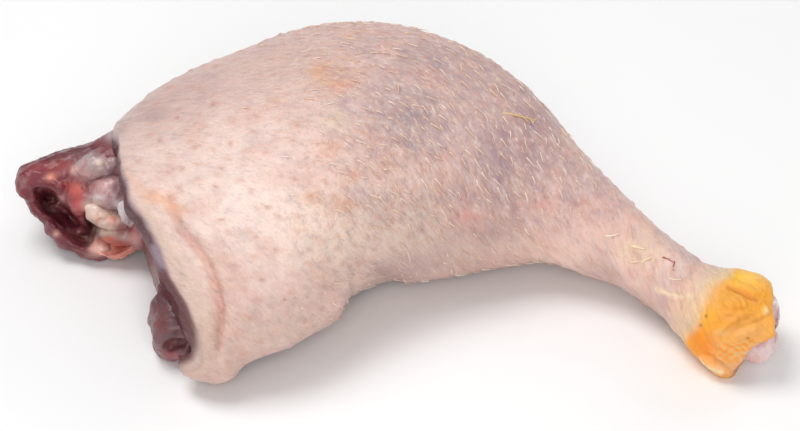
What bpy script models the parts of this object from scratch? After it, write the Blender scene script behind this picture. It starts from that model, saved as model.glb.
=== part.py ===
"""A raw duck leg, thigh and drumstick in one piece, lying on its cut side with the skin up.

Metres, +Z up. +X runs from the cut hip end to the ankle, -Y faces the viewer, and the origin is the
centre of the bounding box's underside, on the table that the leg lies on.

The skin is a thick sheet wrapped round the leg: open at the hip, open along the underside of the thigh,
where the bird was cut from the carcass, and closed as a tube round the drumstick. The meat fills it and
shows in both openings. Knuckle, fat, sinew and torn membrane sit in sockets of the meat at the hip, and
the shank bone runs through the drumstick and shows at the ankle.
"""
import math

import bmesh
import bpy
import numpy as np
from mathutils import Euler, Matrix, Vector, noise

MM = 0.001

# Cross-sections of the whole leg, in millimetres and degrees, in the order hip to ankle. Each is a
# rounded upright section: x and y of its middle, how far it is turned about Z from facing along X,
# half its width, the height of its top and of its underside, and how full its viewer's side is.
SECTIONS = (
    # x, y, turn, half width, top, underside, near fullness
    (-75.5, -18, 17, 42, 43, 0.0, 1.6),
    (-60, -11, 14, 53, 49.5, 0.0, 1.7),
    (-40, -3, 9, 57, 54, 0.0, 1.9),
    (-16, 9, 3, 52, 58, 0.0, 2.1),
    (8, 11, -6, 42, 57, 0.6, 2.15),
    (28, 5, -16, 31, 50, 2.5, 2.15),
    (46, -4, -27, 19.5, 37, 4.0, 2.1),
    (62, -16, -34, 12.5, 29, 3.0, 2.0),
    (77, -31, -38, 11.0, 25, 1.2, 2.0),
    (88.5, -42.2, -40, 13.6, 26.5, 0.1, 2.1),
    (95.5, -48.2, -40, 12.0, 24.8, 0.6, 2.1),
    (99.5, -51.6, -40, 8.0, 20.8, 3.6, 2.1),
)
TOP_FULLNESS = 2.15  # exponent of the superellipse: 2 is an ellipse, more is squarer
BELOW_FULLNESS = 2.7
WIDEST_AT = 0.42  # share of a section's height at which it is widest

# Skin sheet.
RIM_LEAN = 20.0  # how far the hip rim draws back along the leg at its lowest point
ANKLE_LEAN = 8.0  # how far the ankle's open end draws back on the side away from the viewer
WINDOW_HALF_ANGLE = 46.0  # degrees of the underside left bare of skin, each way, at the hip
WINDOW_LENGTH = 116.0  # how far along the leg the bare underside reaches
WINDOW_BLUNT = 9.0  # degrees at which the window's pointed end is closed
THIGH_SKIN = 5.6  # thickness of skin and its fat at the hip rim
LEG_SKIN = 3.0  # over the thigh
ANKLE_SKIN = 2.0  # at the ankle
FLAP_FOOT = 5.5  # how far the flap's foot spreads towards the viewer at the hip
RIM_EDGE = 1.1  # rounding of the cut edges
GAP = 0.35  # clearance between touching pieces
SKIN_RINGS = 34
SKIN_SIDES = 34

# Lumps of tissue, in millimetres and degrees: centre, radii, tilt, unevenness, and a number that
# picks the unevenness. These are of one piece with the meat.
HIP_MEAT = {
    "rump": ((-83, 15, 12.5), (23, 15, 14), (0, 0, 8), 0.16, 1),
    "shoulder": ((-73, 8, 17), (14, 13, 16), (0, 0, 10), 0.14, 2),
    "tongue": ((-92, 8, 23), (18.5, 10, 7), (0, -13, 8), 0.16, 3),
    "wall": ((-95, 11.5, 11.5), (10.5, 6.5, 11.5), (0, 12, 0), 0.2, 12),
    "red_lump": ((-90.7, 0.6, 19), (4.6, 5, 6.6), (0, 20, 0), 0.2, 4),
    "small_lump": ((-95.8, 2.4, 17), (3, 3.5, 4), (0, 10, 0), 0.2, 5),
    "nub": ((-98, 2.6, 24.5), (2.6, 2.6, 2.2), (0, 0, 0), 0.1, 6),
    "beige_lump": ((-80.4, -4.6, 11.5), (7.2, 5, 3.8), (0, 18, 0), 0.15, 7),
    "pink_lump": ((-73.8, -6.6, 12), (4.6, 5, 5), (0, 0, 0), 0.15, 8),
    "cut_muscle": ((-59, -42.5, 9.0), (10, 10.5, 9.2), (0, 0, -12), 0.2, 9),
}
HIP_SCOOP = ((-99, -1, 8), (15, 8, 9), (0, 0, -20), 0.1, 10)
# These are pieces of their own, each in a socket of the meat.
TISSUES = {
    "hip_knuckle": ((-83, 0.4, 21.8), (6.4, 5.6, 5.8), (0, 0, 0), 0.12, 11),
    "joint_capsule": ((-86, 3.4, 29.2), (7.0, 4.6, 3.8), (0, -12, 0), 0.15, 12),
    "fat_lobe": ((-83.6, -4.4, 15.6), (7.4, 3.8, 2.9), (0, 33, 0), 0.12, 13),
    "sinew": ((-77.4, -5.2, 17.4), (1.9, 2.6, 4.8), (0, -30, 0), 0.1, 14),
    "torn_membrane": ((-82, -5.6, 7.4), (6.4, 3.8, 4.6), (0, -8, 0), 0.1, 15),
}
MEMBRANE_HOLLOW = ((-82.4, -7.6, 10.0), (5.6, 4.0, 4.6), (0, -8, 0), 0.1, 15)
# The shank bone's two condyles, which show at the ankle.
CONDYLES = {
    "far_condyle": ((97.4, -44.4, 14.6), (6.0, 6.6, 7.2), (0, 0, 0), 0.1, 16),
    "near_condyle": ((96.2, -49.6, 9.6), (6.6, 6.8, 6.4), (0, 0, 0), 0.1, 17),
}
MEAT_SAG = 2.0  # how far the bare meat would sag below the skin's underside; the table flattens it
MEAT_STOPS = 20.0  # how far the meat ends short of the ankle's open end


def smooth_through(keys, values, at):
    """Cubic curve through the values at the keys, with the slope at each key taken from both sides."""
    keys = np.asarray(keys, float)
    values = np.asarray(values, float)
    step = np.diff(keys)
    rise = np.diff(values) / step
    slope = np.empty_like(values)
    slope[0] = rise[0]
    slope[-1] = rise[-1]
    slope[1:-1] = (rise[:-1] * step[1:] + rise[1:] * step[:-1]) / (step[:-1] + step[1:])
    i = np.clip(np.searchsorted(keys, at) - 1, 0, len(step) - 1)
    t = (at - keys[i]) / step[i]
    return (
        (2 * t**3 - 3 * t**2 + 1) * values[i]
        + (t**3 - 2 * t**2 + t) * step[i] * slope[i]
        + (3 * t**2 - 2 * t**3) * values[i + 1]
        + (t**3 - t**2) * step[i] * slope[i + 1]
    )


def smoothstep(low, high, value):
    t = np.clip((value - low) / (high - low), 0, 1)
    return t * t * (3 - 2 * t)


def bump(value, centre, width):
    return np.exp(-(((value - centre) / width) ** 2))


TABLE = np.array(SECTIONS, float)
STATION = np.concatenate([[0], np.cumsum(np.linalg.norm(np.diff(TABLE[:, :2], axis=0), axis=1))])
LENGTH = STATION[-1]


def leg_point(along, angle, inset=0.0, shrink=1.0):
    """Points of the leg's outer form, in millimetres.

    along is the distance from the hip end, angle goes round the section in degrees (0 is the far side,
    90 the top, 180 the viewer's side, 270 underneath), inset moves the point inwards, and shrink
    draws it towards the middle of its section.
    """
    x, y, turn, half, top, under, near = (smooth_through(STATION, TABLE[:, k], along) for k in range(7))
    turn = np.radians(turn)
    a = np.radians(angle)
    c, s = np.cos(a), np.sin(a)
    fullness = np.where(s < 0, BELOW_FULLNESS, np.where(c < 0, near, TOP_FULLNESS))
    c = np.sign(c) * np.abs(c) ** (2 / fullness)
    s = np.sign(s) * np.abs(s) ** (2 / fullness)
    middle = under + WIDEST_AT * (top - under)
    out = c * (half - inset)
    up = np.where(s > 0, s * (top - middle - inset), s * (middle - under - inset))
    swell = relief(along, angle)
    reach = np.hypot(out, up) + 1e-9
    factor = shrink * (1 + swell / reach)
    out = out * factor
    up = up * factor
    height = np.maximum(middle + up, inset)
    return np.stack([x - np.sin(turn) * out, y + np.cos(turn) * out, height], axis=-1)


def hip_rim(angle):
    """How far along the leg the skin starts, at this angle round it."""
    return RIM_LEAN * ((1 - np.sin(np.radians(angle))) / 2) ** 1.5


def relief(along, angle):
    """Swellings and creases of the skin, in millimetres outwards."""
    a = np.mod(angle, 360)
    from_rim = along - hip_rim(angle)
    near = bump(a, 190, 60)
    roll = 1.3 * bump(from_rim, 4, 5) * near
    crease = -1.0 * bump(from_rim, 13, 3) * near
    foot = FLAP_FOOT * bump(from_rim, 1, 14) * bump(a, 214, 26)
    bend = -3.0 * bump(along, 78, 9) * bump(a, 205, 28)
    ankle = 1.0 * bump(along, LENGTH - 9, 5) * np.sin(np.radians(3 * a + 40))
    return roll + crease + foot + bend + ankle


def window(along):
    """Half angle, in degrees, of the bare strip under the thigh."""
    half = WINDOW_HALF_ANGLE * np.cos(np.clip(along / WINDOW_LENGTH, 0, 1) * math.pi / 2)
    return np.where(half < WINDOW_BLUNT, 0, half)


def new_object(name, mesh, collection):
    obj = bpy.data.objects.new(name, mesh)
    collection.objects.link(obj)
    return obj


def mapped_grid(name, rings, sides, place):
    """A mesh grid whose points are put in place by place(along share, around share)."""
    bm = bmesh.new()
    bmesh.ops.create_grid(bm, x_segments=rings, y_segments=sides, size=0.5)
    share = np.array([v.co[:2] for v in bm.verts]) + 0.5
    points = place(share[:, 0], share[:, 1]) * MM
    for vertex, point in zip(bm.verts, points):
        vertex.co = point
    bmesh.ops.remove_doubles(bm, verts=bm.verts, dist=1e-5)
    bmesh.ops.recalc_face_normals(bm, faces=bm.faces)
    mesh = bpy.data.meshes.new(name)
    bm.to_mesh(mesh)
    bm.free()
    return mesh


def skin_sheet(name, collection, outset, grow, extra):
    """The skin as an open sheet with Solidify. A cutter's sheet is set out, grown and thickened."""

    def place(s, t):
        start = -grow
        finish = LENGTH + grow
        rough = start + (finish - start) * s
        bare = np.maximum(window(rough) - grow * 1.2, 0) * (window(rough) > 0)
        angle = 270 + bare + (360 - 2 * bare) * t
        first = hip_rim(angle) - grow
        last = LENGTH + grow - ANKLE_LEAN * (1 - np.cos(np.radians(angle - 140))) / 2
        along = first + (last - first) * s
        return leg_point(along, angle, inset=-outset)

    mesh = mapped_grid(name, SKIN_RINGS, SKIN_SIDES, place)
    obj = new_object(name, mesh, collection)
    thickest = THIGH_SKIN + extra
    group = obj.vertex_groups.new(name="thickness")
    for vertex in mesh.vertices:
        thick = skin_thickness(distance_along(vertex.co / MM))
        group.add([vertex.index], float((thick + extra) / thickest), "REPLACE")
    shell = obj.modifiers.new("thickness", "SOLIDIFY")
    shell.thickness = thickest * MM
    shell.offset = -1
    shell.vertex_group = group.name
    shell.use_even_offset = True
    return obj


def skin_thickness(along):
    return smooth_through((0, 16, 60, 130, LENGTH), (THIGH_SKIN, 4.2, LEG_SKIN, 2.4, ANKLE_SKIN), along)


def distance_along(point):
    """Roughly how far along the leg a point is, in millimetres."""
    away = np.hypot(TABLE[:, 0] - point[0], TABLE[:, 1] - point[1])
    turn = np.radians(TABLE[:, 2])
    ahead = (point[0] - TABLE[:, 0]) * np.cos(turn) + (point[1] - TABLE[:, 1]) * np.sin(turn)
    passed = np.where(ahead > 0)[0]
    i = min(passed[-1] if len(passed) else 0, len(TABLE) - 2)
    share = ahead[i] / max(ahead[i] - ahead[i + 1], 1e-6)
    return float(np.clip(STATION[i] + share * (STATION[i + 1] - STATION[i]), 0, LENGTH))


def closed_form(name, collection, rings, sides, start, finish, inset, cap_share, bulge):
    """A closed form that follows the leg from start to finish, rounded off at both ends."""

    def place(s, t):
        angle = 270 + 360 * t
        low, high = cap_share, 1 - cap_share
        shrink = np.where(s < low, s / low, np.where(s > high, (1 - s) / low, 1.0))
        shrink = np.sin(np.clip(shrink, 0, 1) * math.pi / 2)
        body = np.clip((s - low) / (high - low), 0, 1)
        along = start + (finish - start) * body
        dome = bulge * (np.sqrt(np.clip(1 - shrink**2, 0, 1)))
        along = along + np.where(s < low, -dome, np.where(s > high, dome, 0))
        points = leg_point(along, angle, inset(along, angle), shrink)
        points[:, 2] = np.maximum(points[:, 2], 0)
        return points

    mesh = mapped_grid(name, rings, sides, place)
    return new_object(name, mesh, collection)


def lump(name, collection, centre, radii, tilt, rough, seed, grow=0.0):
    """A rounded piece of tissue: a sphere stretched, tilted in degrees and made uneven, in millimetres."""
    bm = bmesh.new()
    bmesh.ops.create_icosphere(bm, subdivisions=3, radius=1)
    turn = Euler([math.radians(t) for t in tilt]).to_matrix()
    for vertex in bm.verts:
        unit = vertex.co.copy()
        uneven = 1 + rough * noise.noise(unit * 1.6 + Vector((seed, 0, 0)))
        stretched = Vector(u * (r * uneven + grow) for u, r in zip(unit, radii))
        vertex.co = (turn @ stretched + Vector(centre)) * MM
        vertex.co.z = max(vertex.co.z, 0)
    mesh = bpy.data.meshes.new(name)
    bm.to_mesh(mesh)
    bm.free()
    return new_object(name, mesh, collection)


def boolean(obj, other, operation):
    """Joins or cuts obj with another object or a collection, and applies it."""
    modifier = obj.modifiers.new(operation.lower(), "BOOLEAN")
    modifier.operation = operation
    modifier.solver = "EXACT"
    if isinstance(other, bpy.types.Collection):
        modifier.operand_type = "COLLECTION"
        modifier.collection = other
    else:
        modifier.object = other
    apply_modifiers(obj)


def apply_modifiers(obj):
    graph = bpy.context.evaluated_depsgraph_get()
    mesh = bpy.data.meshes.new_from_object(obj.evaluated_get(graph))
    obj.modifiers.clear()
    obj.data = mesh


def empty_collection(collection):
    for obj in list(collection.objects):
        bpy.data.objects.remove(obj)


def colour(name, base, roughness):
    material = bpy.data.materials.new(name)
    material.use_nodes = True
    shader = material.node_tree.nodes["Principled BSDF"]
    shader.inputs["Base Color"].default_value = (*base, 1)
    shader.inputs["Roughness"].default_value = roughness
    material.diffuse_color = (*base, 1)
    return material


def main():
    for obj in list(bpy.data.objects):
        bpy.data.objects.remove(obj)
    leg = bpy.data.collections.new("duck_leg")
    cutters = bpy.data.collections.new("cutters")
    joined = bpy.data.collections.new("joined")
    for collection in (leg, cutters, joined):
        bpy.context.scene.collection.children.link(collection)

    skin = skin_sheet("skin", leg, 0, 0, 0)
    skin.data.materials.append(colour("raw duck skin", (0.72, 0.5, 0.45), 0.4))
    edge = skin.modifiers.new("cut edges", "BEVEL")
    edge.width = RIM_EDGE * MM
    edge.segments = 2
    edge.limit_method = "ANGLE"
    edge.angle_limit = math.radians(62)

    skin_room = skin_sheet("skin_room", cutters, GAP, GAP, 2 * GAP)
    apply_modifiers(skin_room)

    meat = closed_form("meat", leg, 28, 28, 8.0, LENGTH - MEAT_STOPS - 4, meat_inset, 0.1, 4.0)
    join_and_cut(meat, HIP_MEAT, joined, skin_room)
    boolean(meat, lump("scoop", cutters, *HIP_SCOOP), "DIFFERENCE")
    rooms = []
    for name, where in TISSUES.items():
        piece = lump(name, leg, *where)
        for room in rooms:
            boolean(piece, room, "DIFFERENCE")
        if name == "torn_membrane":
            boolean(piece, lump("hollow", cutters, *MEMBRANE_HOLLOW), "DIFFERENCE")
        rooms.append(lump(name + "_room", cutters, *where, grow=GAP))
        boolean(meat, rooms[-1], "DIFFERENCE")

    bone = closed_form("shank_bone", leg, 10, 20, LENGTH - MEAT_STOPS + 5, LENGTH - 5, bone_inset, 0.2, 3.0)
    join_and_cut(bone, CONDYLES, joined, skin_room)

    paint = {
        "meat": ("raw duck meat", (0.25, 0.06, 0.07), 0.35),
        "hip_knuckle": ("raw cartilage", (0.52, 0.38, 0.36), 0.25),
        "joint_capsule": ("joint capsule", (0.45, 0.37, 0.37), 0.3),
        "fat_lobe": ("raw fat", (0.76, 0.6, 0.52), 0.35),
        "sinew": ("sinew", (0.6, 0.55, 0.56), 0.25),
        "torn_membrane": ("torn membrane", (0.55, 0.2, 0.15), 0.3),
        "shank_bone": ("raw bone", (0.68, 0.5, 0.47), 0.35),
    }
    for name, finish in paint.items():
        mesh = bpy.data.objects[name].data
        mesh.materials.clear()
        mesh.materials.append(colour(*finish))
    empty_collection(cutters)
    stand_on_origin(leg)


def stand_on_origin(collection):
    """Moves every mesh so that the middle of the whole bounding box's underside is at the origin."""
    apply_modifiers(collection.objects["skin"])
    points = np.array([v.co for obj in collection.objects for v in obj.data.vertices])
    low = points.min(axis=0)
    high = points.max(axis=0)
    shift = Vector((-(low[0] + high[0]) / 2, -(low[1] + high[1]) / 2, -low[2]))
    for obj in collection.objects:
        obj.data.transform(Matrix.Translation(shift))


def join_and_cut(obj, lumps, joined, skin_room):
    """Joins lumps to obj and cuts away the room that the skin needs."""
    for name, where in lumps.items():
        lump(name, joined, *where)
    boolean(obj, joined, "UNION")
    empty_collection(joined)
    boolean(obj, skin_room, "DIFFERENCE")


def meat_inset(along, angle):
    """The meat lies close inside the skin, leaves a crevice behind the flap, and rests on the table."""
    a = np.mod(angle, 360)
    crevice = bump(a, 200, 40) * (1 - smoothstep(8, 34, along))
    covered = skin_thickness(along) + GAP + 1.3
    inside_window = smoothstep(8, 22, window(along) - np.abs(a - 270))
    return (covered + 3.0 * crevice) * (1 - inside_window) - MEAT_SAG * inside_window


def bone_inset(along, angle):
    return ANKLE_SKIN - 0.6 + 0 * angle


main()
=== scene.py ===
"""Looks for a raw duck leg, lying skin side up on a pale table.

The skin is remade from the same cross-sections as the CAD, finely enough to carry its pimples, wrinkles,
rolled rim and the folds of the yellow cuff. Feather stubs, the torn muscle, fat and cartilage at the hip
and the sawn-through ankle joint are meshes as well. Lengths are in millimetres until they reach a mesh.
"""

import math
import random

import bmesh
import bpy
import numpy as np
from mathutils import Euler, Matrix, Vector, noise


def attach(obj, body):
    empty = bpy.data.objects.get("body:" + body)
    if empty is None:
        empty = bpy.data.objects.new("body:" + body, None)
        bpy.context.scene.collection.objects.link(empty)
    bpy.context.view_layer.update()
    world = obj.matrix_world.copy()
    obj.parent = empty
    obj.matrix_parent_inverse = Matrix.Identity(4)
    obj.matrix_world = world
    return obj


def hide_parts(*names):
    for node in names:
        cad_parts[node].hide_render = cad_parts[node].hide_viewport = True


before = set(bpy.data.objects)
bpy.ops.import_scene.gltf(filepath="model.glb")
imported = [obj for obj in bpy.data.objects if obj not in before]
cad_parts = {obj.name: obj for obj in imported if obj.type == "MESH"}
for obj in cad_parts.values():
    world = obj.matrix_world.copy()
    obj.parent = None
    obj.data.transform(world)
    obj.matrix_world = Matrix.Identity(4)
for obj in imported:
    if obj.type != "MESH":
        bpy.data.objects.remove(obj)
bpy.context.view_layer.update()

MM = 0.001
OFF_TABLE = 0.05  # the least height of any point above the table
RESTING_BELOW = 0.6  # skin lower than this rests on the table
# The CAD moves its sections by this much, to stand the leg on its origin.
SHIFT = np.array((2.71, 2.015, 0.0))

# The photograph's camera: 38 degrees above the table, on a long lens. Distances in millimetres.
CAMERA_LIFT = math.radians(38.0)
TO_CAMERA = np.array((0, -math.cos(CAMERA_LIFT), math.sin(CAMERA_LIFT)))
CAMERA_UP = np.array((0, math.sin(CAMERA_LIFT), math.cos(CAMERA_LIFT)))
CAMERA_LENS = 100.0
CAMERA_SENSOR = 36.0
CAMERA_DISTANCE = 622.0
CAMERA_TARGET = np.array((2.7, -13.0, 25.0))
PHOTO_WIDE = 800
PHOTO_HIGH = 431

# Cross-sections of the leg, hip to ankle, as in the CAD.
SECTIONS = (
    # x, y, turn, half width, top, underside, near fullness
    (-75.5, -18, 17, 42, 43, 0.0, 1.6),
    (-60, -11, 14, 53, 49.5, 0.0, 1.7),
    (-40, -3, 9, 57, 54, 0.0, 1.9),
    (-16, 9, 3, 52, 58, 0.0, 2.1),
    (8, 11, -6, 42, 57, 0.6, 2.15),
    (28, 5, -16, 31, 50, 2.5, 2.15),
    (46, -4, -27, 19.5, 37, 4.0, 2.1),
    (62, -16, -34, 12.5, 29, 3.0, 2.0),
    (77, -31, -38, 11.0, 25, 1.2, 2.0),
    (88.5, -42.2, -40, 13.6, 26.5, 0.1, 2.1),
    (95.5, -48.2, -40, 12.0, 24.8, 0.6, 2.1),
    (99.5, -51.6, -40, 8.0, 20.8, 3.6, 2.1),
)
TOP_FULLNESS = 2.15  # 2 is an ellipse; more is squarer
BELOW_FULLNESS = 2.7
WIDEST_AT = 0.42  # share of the height
RIM_LEAN = 20.0  # how far the cut at the hip slants, and the one at the ankle
ANKLE_LEAN = 8.0
WINDOW_HALF_ANGLE = 46.0  # degrees left bare underneath at the hip, closing over the length
WINDOW_LENGTH = 116.0
THIGH_SKIN = 5.6  # thickness of the skin with its fat
LEG_SKIN = 3.0
ANKLE_SKIN = 2.0
FLAP_FOOT = 7.5  # how far the flap's foot swells out
MEAT_SAG = 2.0  # how far the bare muscle hangs out of the skin
MEAT_STOPS = 24.0  # how far short of the ankle end the muscle stops
MEAT_GAP = 1.65  # room between muscle and skin


# Small helpers


def linear(code, alpha=1.0):
    """A colour written as sRGB hex, as the linear colour that Blender wants."""
    parts = [int(code[i : i + 2], 16) / 255 for i in (1, 3, 5)]
    parts = [p / 12.92 if p <= 0.04045 else ((p + 0.055) / 1.055) ** 2.4 for p in parts]
    return (*parts, alpha)


def smooth_through(keys, values, at):
    """Cubic curve through the values at the keys, with the slope at each key taken from both sides."""
    keys = np.asarray(keys, float)
    values = np.asarray(values, float)
    step = np.diff(keys)
    rise = np.diff(values) / step
    slope = np.empty_like(values)
    slope[0] = rise[0]
    slope[-1] = rise[-1]
    slope[1:-1] = (rise[:-1] * step[1:] + rise[1:] * step[:-1]) / (step[:-1] + step[1:])
    i = np.clip(np.searchsorted(keys, at) - 1, 0, len(step) - 1)
    t = (at - keys[i]) / step[i]
    return (
        (2 * t**3 - 3 * t**2 + 1) * values[i]
        + (t**3 - 2 * t**2 + t) * step[i] * slope[i]
        + (3 * t**2 - 2 * t**3) * values[i + 1]
        + (t**3 - t**2) * step[i] * slope[i + 1]
    )


def smoothstep(low, high, value):
    """0 below the low value, 1 above the high one, an S between them."""
    t = np.clip((value - low) / (high - low), 0, 1)
    return t * t * (3 - 2 * t)


def bump(value, centre, width):
    """1 at the centre, falling off smoothly over the width to both sides."""
    return np.exp(-(((value - centre) / width) ** 2))


def cloud(points, size, seed):
    """Smooth noise from -1 to 1 at each point; size is the width of its lumps."""
    scaled = points / size + seed * 17.3
    return np.array([noise.noise(Vector(p)) for p in scaled])


def seen(points):
    """Where the photograph shows each point, in its pixels."""
    away = points - CAMERA_TARGET
    scale = CAMERA_LENS / CAMERA_SENSOR * PHOTO_WIDE / (CAMERA_DISTANCE - away @ TO_CAMERA)
    across = PHOTO_WIDE / 2 + away[:, 0] * scale
    return np.stack([across, PHOTO_HIGH / 2 - (away @ CAMERA_UP) * scale], axis=-1)


def line_distance(spots, line):
    """Distance in pixels from each spot to a line through several points."""
    best = np.full(len(spots), 1e9)
    line = np.array(line, float)
    for k in range(len(line) - 1):
        run = line[k + 1] - line[k]
        t = np.clip(((spots - line[k]) @ run) / (run @ run), 0, 1)
        best = np.minimum(best, np.linalg.norm(spots - (line[k] + t[:, None] * run), axis=1))
    return best


def press(points, outward, strokes):
    """Pushes points straight away from the camera along lines drawn on the photograph, in millimetres."""
    spots = seen(points)
    front = smoothstep(-0.1, 0.25, outward @ TO_CAMERA)
    for line, width, deep in strokes:
        gap = line_distance(spots, line)
        points = points - TO_CAMERA * (deep * (1 - smoothstep(0.4, 1.3, gap / width)) * front)[:, None]
    return points


# The leg's form, as in the CAD

TABLE = np.array(SECTIONS, float)
STATION = np.concatenate([[0], np.cumsum(np.linalg.norm(np.diff(TABLE[:, :2], axis=0), axis=1))])
LENGTH = STATION[-1]


def hip_rim(angle):
    """How far in from the hip the slanted rim lies, by angle."""
    return RIM_LEAN * ((1 - np.sin(np.radians(angle))) / 2) ** 1.5


def through_angles(keys, angle):
    """A value round the section, given at a few angles and joined smoothly."""
    at = np.array([k for k, _v in keys] + [keys[0][0] + 360], float)
    value = np.array([v for _k, v in keys] + [keys[0][1]], float)
    turned = np.mod(np.asarray(angle, float) - at[0], 360) + at[0]
    return smooth_through(at, value, turned)


def window(along):
    """Half the angle that the skin leaves bare underneath."""
    return WINDOW_HALF_ANGLE * np.cos(np.clip(along / WINDOW_LENGTH, 0, 1) * math.pi / 2)


def skin_thickness(along):
    """The skin with its fat, thickest at the hip."""
    return smooth_through((0, 16, 60, 130, LENGTH), (THIGH_SKIN, 4.2, LEG_SKIN, 2.4, ANKLE_SKIN), along)


def swellings(along, angle):
    """The CAD's swellings, with a fuller rolled rim, a sharper crease behind it and a slimmer shank."""
    a = np.mod(angle, 360)
    from_rim = along - hip_rim(angle)
    near = bump(a, 190, 60)
    roll = 1.2 * bump(from_rim, 5.0, 5.0) * near
    crease = -0.6 * bump(from_rim, 13.0, 3.0) * near
    foot = FLAP_FOOT * bump(from_rim, -2, 13) * bump(a, 211, 24)
    bend = -3.0 * bump(along, 80, 9) * bump(a, 205, 28)
    bend += -5.0 * smoothstep(60.5, 66, along) * (1 - smoothstep(66, 90, along)) * bump(a, 208, 27)
    bend += 0.9 * bump(along, 57, 4) * bump(a, 206, 24)
    shoulder = -2.6 * bump(along, 14, 17) * bump(a, 55, 45)
    ankle = 1.0 * bump(along, LENGTH - 9, 5) * np.sin(np.radians(3 * a + 40))
    neck = -1.7 * bump(along, LENGTH - 21, 10) * bump(a, 80, 60)
    heel = 2.2 * bump(along, LENGTH - 5, 7) * bump(a, 225, 35)
    shank = -4.0 * smoothstep(138, 156, along) * (1 - smoothstep(170, 193, along))
    shank -= 2.9 * bump(along, 133, 12)
    shank *= bump(a, 218, 34)
    shank += -1.5 * smoothstep(112, 130, along) * (1 - smoothstep(178, 193, along)) * bump(a, 50, 42)
    return roll + crease + foot + bend + shoulder + ankle + neck + heel + shank


def leg_point(along, angle, inset=0.0, shrink=1.0):
    """Points of the leg: distance from the hip, degrees round the section, depth under the surface."""
    x, y, turn, half, top, under, near = (smooth_through(STATION, TABLE[:, k], along) for k in range(7))
    turn = np.radians(turn)
    a = np.radians(angle)
    c, s = np.cos(a), np.sin(a)
    fullness = np.where(s < 0, BELOW_FULLNESS, np.where(c < 0, near, TOP_FULLNESS))
    c = np.sign(c) * np.abs(c) ** (2 / fullness)
    s = np.sign(s) * np.abs(s) ** (2 / fullness)
    middle = under + WIDEST_AT * (top - under)
    out = c * (half - inset)
    up = np.where(s > 0, s * (top - middle - inset), s * (middle - under - inset))
    reach = np.hypot(out, up) + 1e-9
    factor = shrink * (1 + swellings(along, angle) / reach)
    out = out * factor
    up = up * factor
    height = np.maximum(middle + up, inset)
    return np.stack([x - np.sin(turn) * out, y + np.cos(turn) * out, height], axis=-1) + SHIFT


# Making pieces


def add_object(name, data):
    obj = bpy.data.objects.new(name, data)
    bpy.context.scene.collection.objects.link(obj)
    return obj


def finish_piece(name, bm, material, replaced):
    """Makes a mesh object of a bmesh in metres, riding on the leg's one body."""
    mesh = bpy.data.meshes.new(name)
    bm.to_mesh(mesh)
    bm.free()
    mesh.shade_smooth()
    obj = add_object(name, mesh)
    mesh.materials.append(material)
    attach(obj, "root")
    if replaced:
        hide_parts(replaced)
    return obj


def grid(columns, rows):
    """A flat bmesh grid, and the column and row of each of its points."""
    bm = bmesh.new()
    bmesh.ops.create_grid(bm, x_segments=columns - 1, y_segments=rows - 1, size=0.5)
    place = np.array([v.co[:2] for v in bm.verts]) + 0.5
    column = np.rint(place[:, 0] * (columns - 1)).astype(int)
    row = np.rint(place[:, 1] * (rows - 1)).astype(int)
    return bm, column, row


def set_points(bm, points):
    for vertex, point in zip(bm.verts, points * MM):
        vertex.co = point


def normals_of(sheet):
    """Outward directions of a sheet of points laid out as columns by rows."""
    along = np.gradient(sheet, axis=0)
    around = np.gradient(sheet, axis=1)
    direction = np.cross(along, around)
    return direction / (np.linalg.norm(direction, axis=-1, keepdims=True) + 1e-12)


def add_colour(obj, name, colours):
    layer = obj.data.color_attributes.new(name, "FLOAT_COLOR", "POINT")
    flat = np.ones((len(obj.data.vertices), 4))
    flat[:, :3] = colours
    layer.data.foreach_set("color", flat.ravel())


def add_value(obj, name, values):
    layer = obj.data.attributes.new(name, "FLOAT", "POINT")
    layer.data.foreach_set("value", np.asarray(values, float))


def mix(colours, code, amount):
    """Moves colours towards one written as hex, each by its own amount."""
    return colours + (np.array(linear(code)[:3]) - colours) * np.clip(amount, 0, 1)[:, None]


def near_spot(spots, x, y, wide, high):
    """How near each spot is to a place in the photograph: 1 there, fading out over the given pixels."""
    return np.exp(-(((spots[:, 0] - x) / wide) ** 2 + ((spots[:, 1] - y) / high) ** 2))


def paint_lines(colours, spots, lines, mask):
    """Lays soft strokes of colour along lines drawn on the photograph."""
    for line, wide, code, strength in lines:
        colours = mix(colours, code, strength * bump(line_distance(spots, line), 0, wide) * mask)
    return colours


# Materials


def node(tree, kind, output, inputs=None, **settings):
    """Adds a shader node with its settings, its inputs as values or links, and returns one of its outputs."""
    made = tree.nodes.new("ShaderNode" + kind)
    for name, value in settings.items():
        setattr(made, name, value)
    for name, value in (inputs or {}).items():
        if isinstance(value, bpy.types.NodeSocket):
            tree.links.new(value, made.inputs[name])
        else:
            made.inputs[name].default_value = value
    return made.outputs[output]


def new_material(name):
    material = bpy.data.materials.new(name)
    material.use_nodes = True
    tree = material.node_tree
    shader = tree.nodes["Principled BSDF"]
    where = node(tree, "TexCoord", "Object")
    return material, tree, shader, where


def connect(tree, source, shader, name):
    tree.links.new(source, shader.inputs[name])


def lay_colours(tree, colour, layers, mask=None):
    """Lays colours over a first one, each where its pattern runs from one value to another."""
    for pattern, start, full, strength, code in layers:
        reach = {"Value": pattern, "From Min": start, "From Max": full, "To Min": 0, "To Max": strength}
        amount = node(tree, "MapRange", "Result", reach)
        if mask:
            amount = node(tree, "Math", "Value", {0: amount, 1: mask}, operation="MULTIPLY")
        colour = node(tree, "MixRGB", "Color", {"Fac": amount, "Color1": colour, "Color2": linear(code)})
    return colour


def raise_relief(tree, layers):
    """Bumps laid over one another: pattern, height in metres, strength."""
    inputs = {}
    for pattern, tall, strength in layers:
        inputs.update({"Height": pattern, "Distance": tall, "Strength": strength})
        normal = node(tree, "Bump", "Normal", inputs)
        inputs["Normal"] = normal
    return normal


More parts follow.
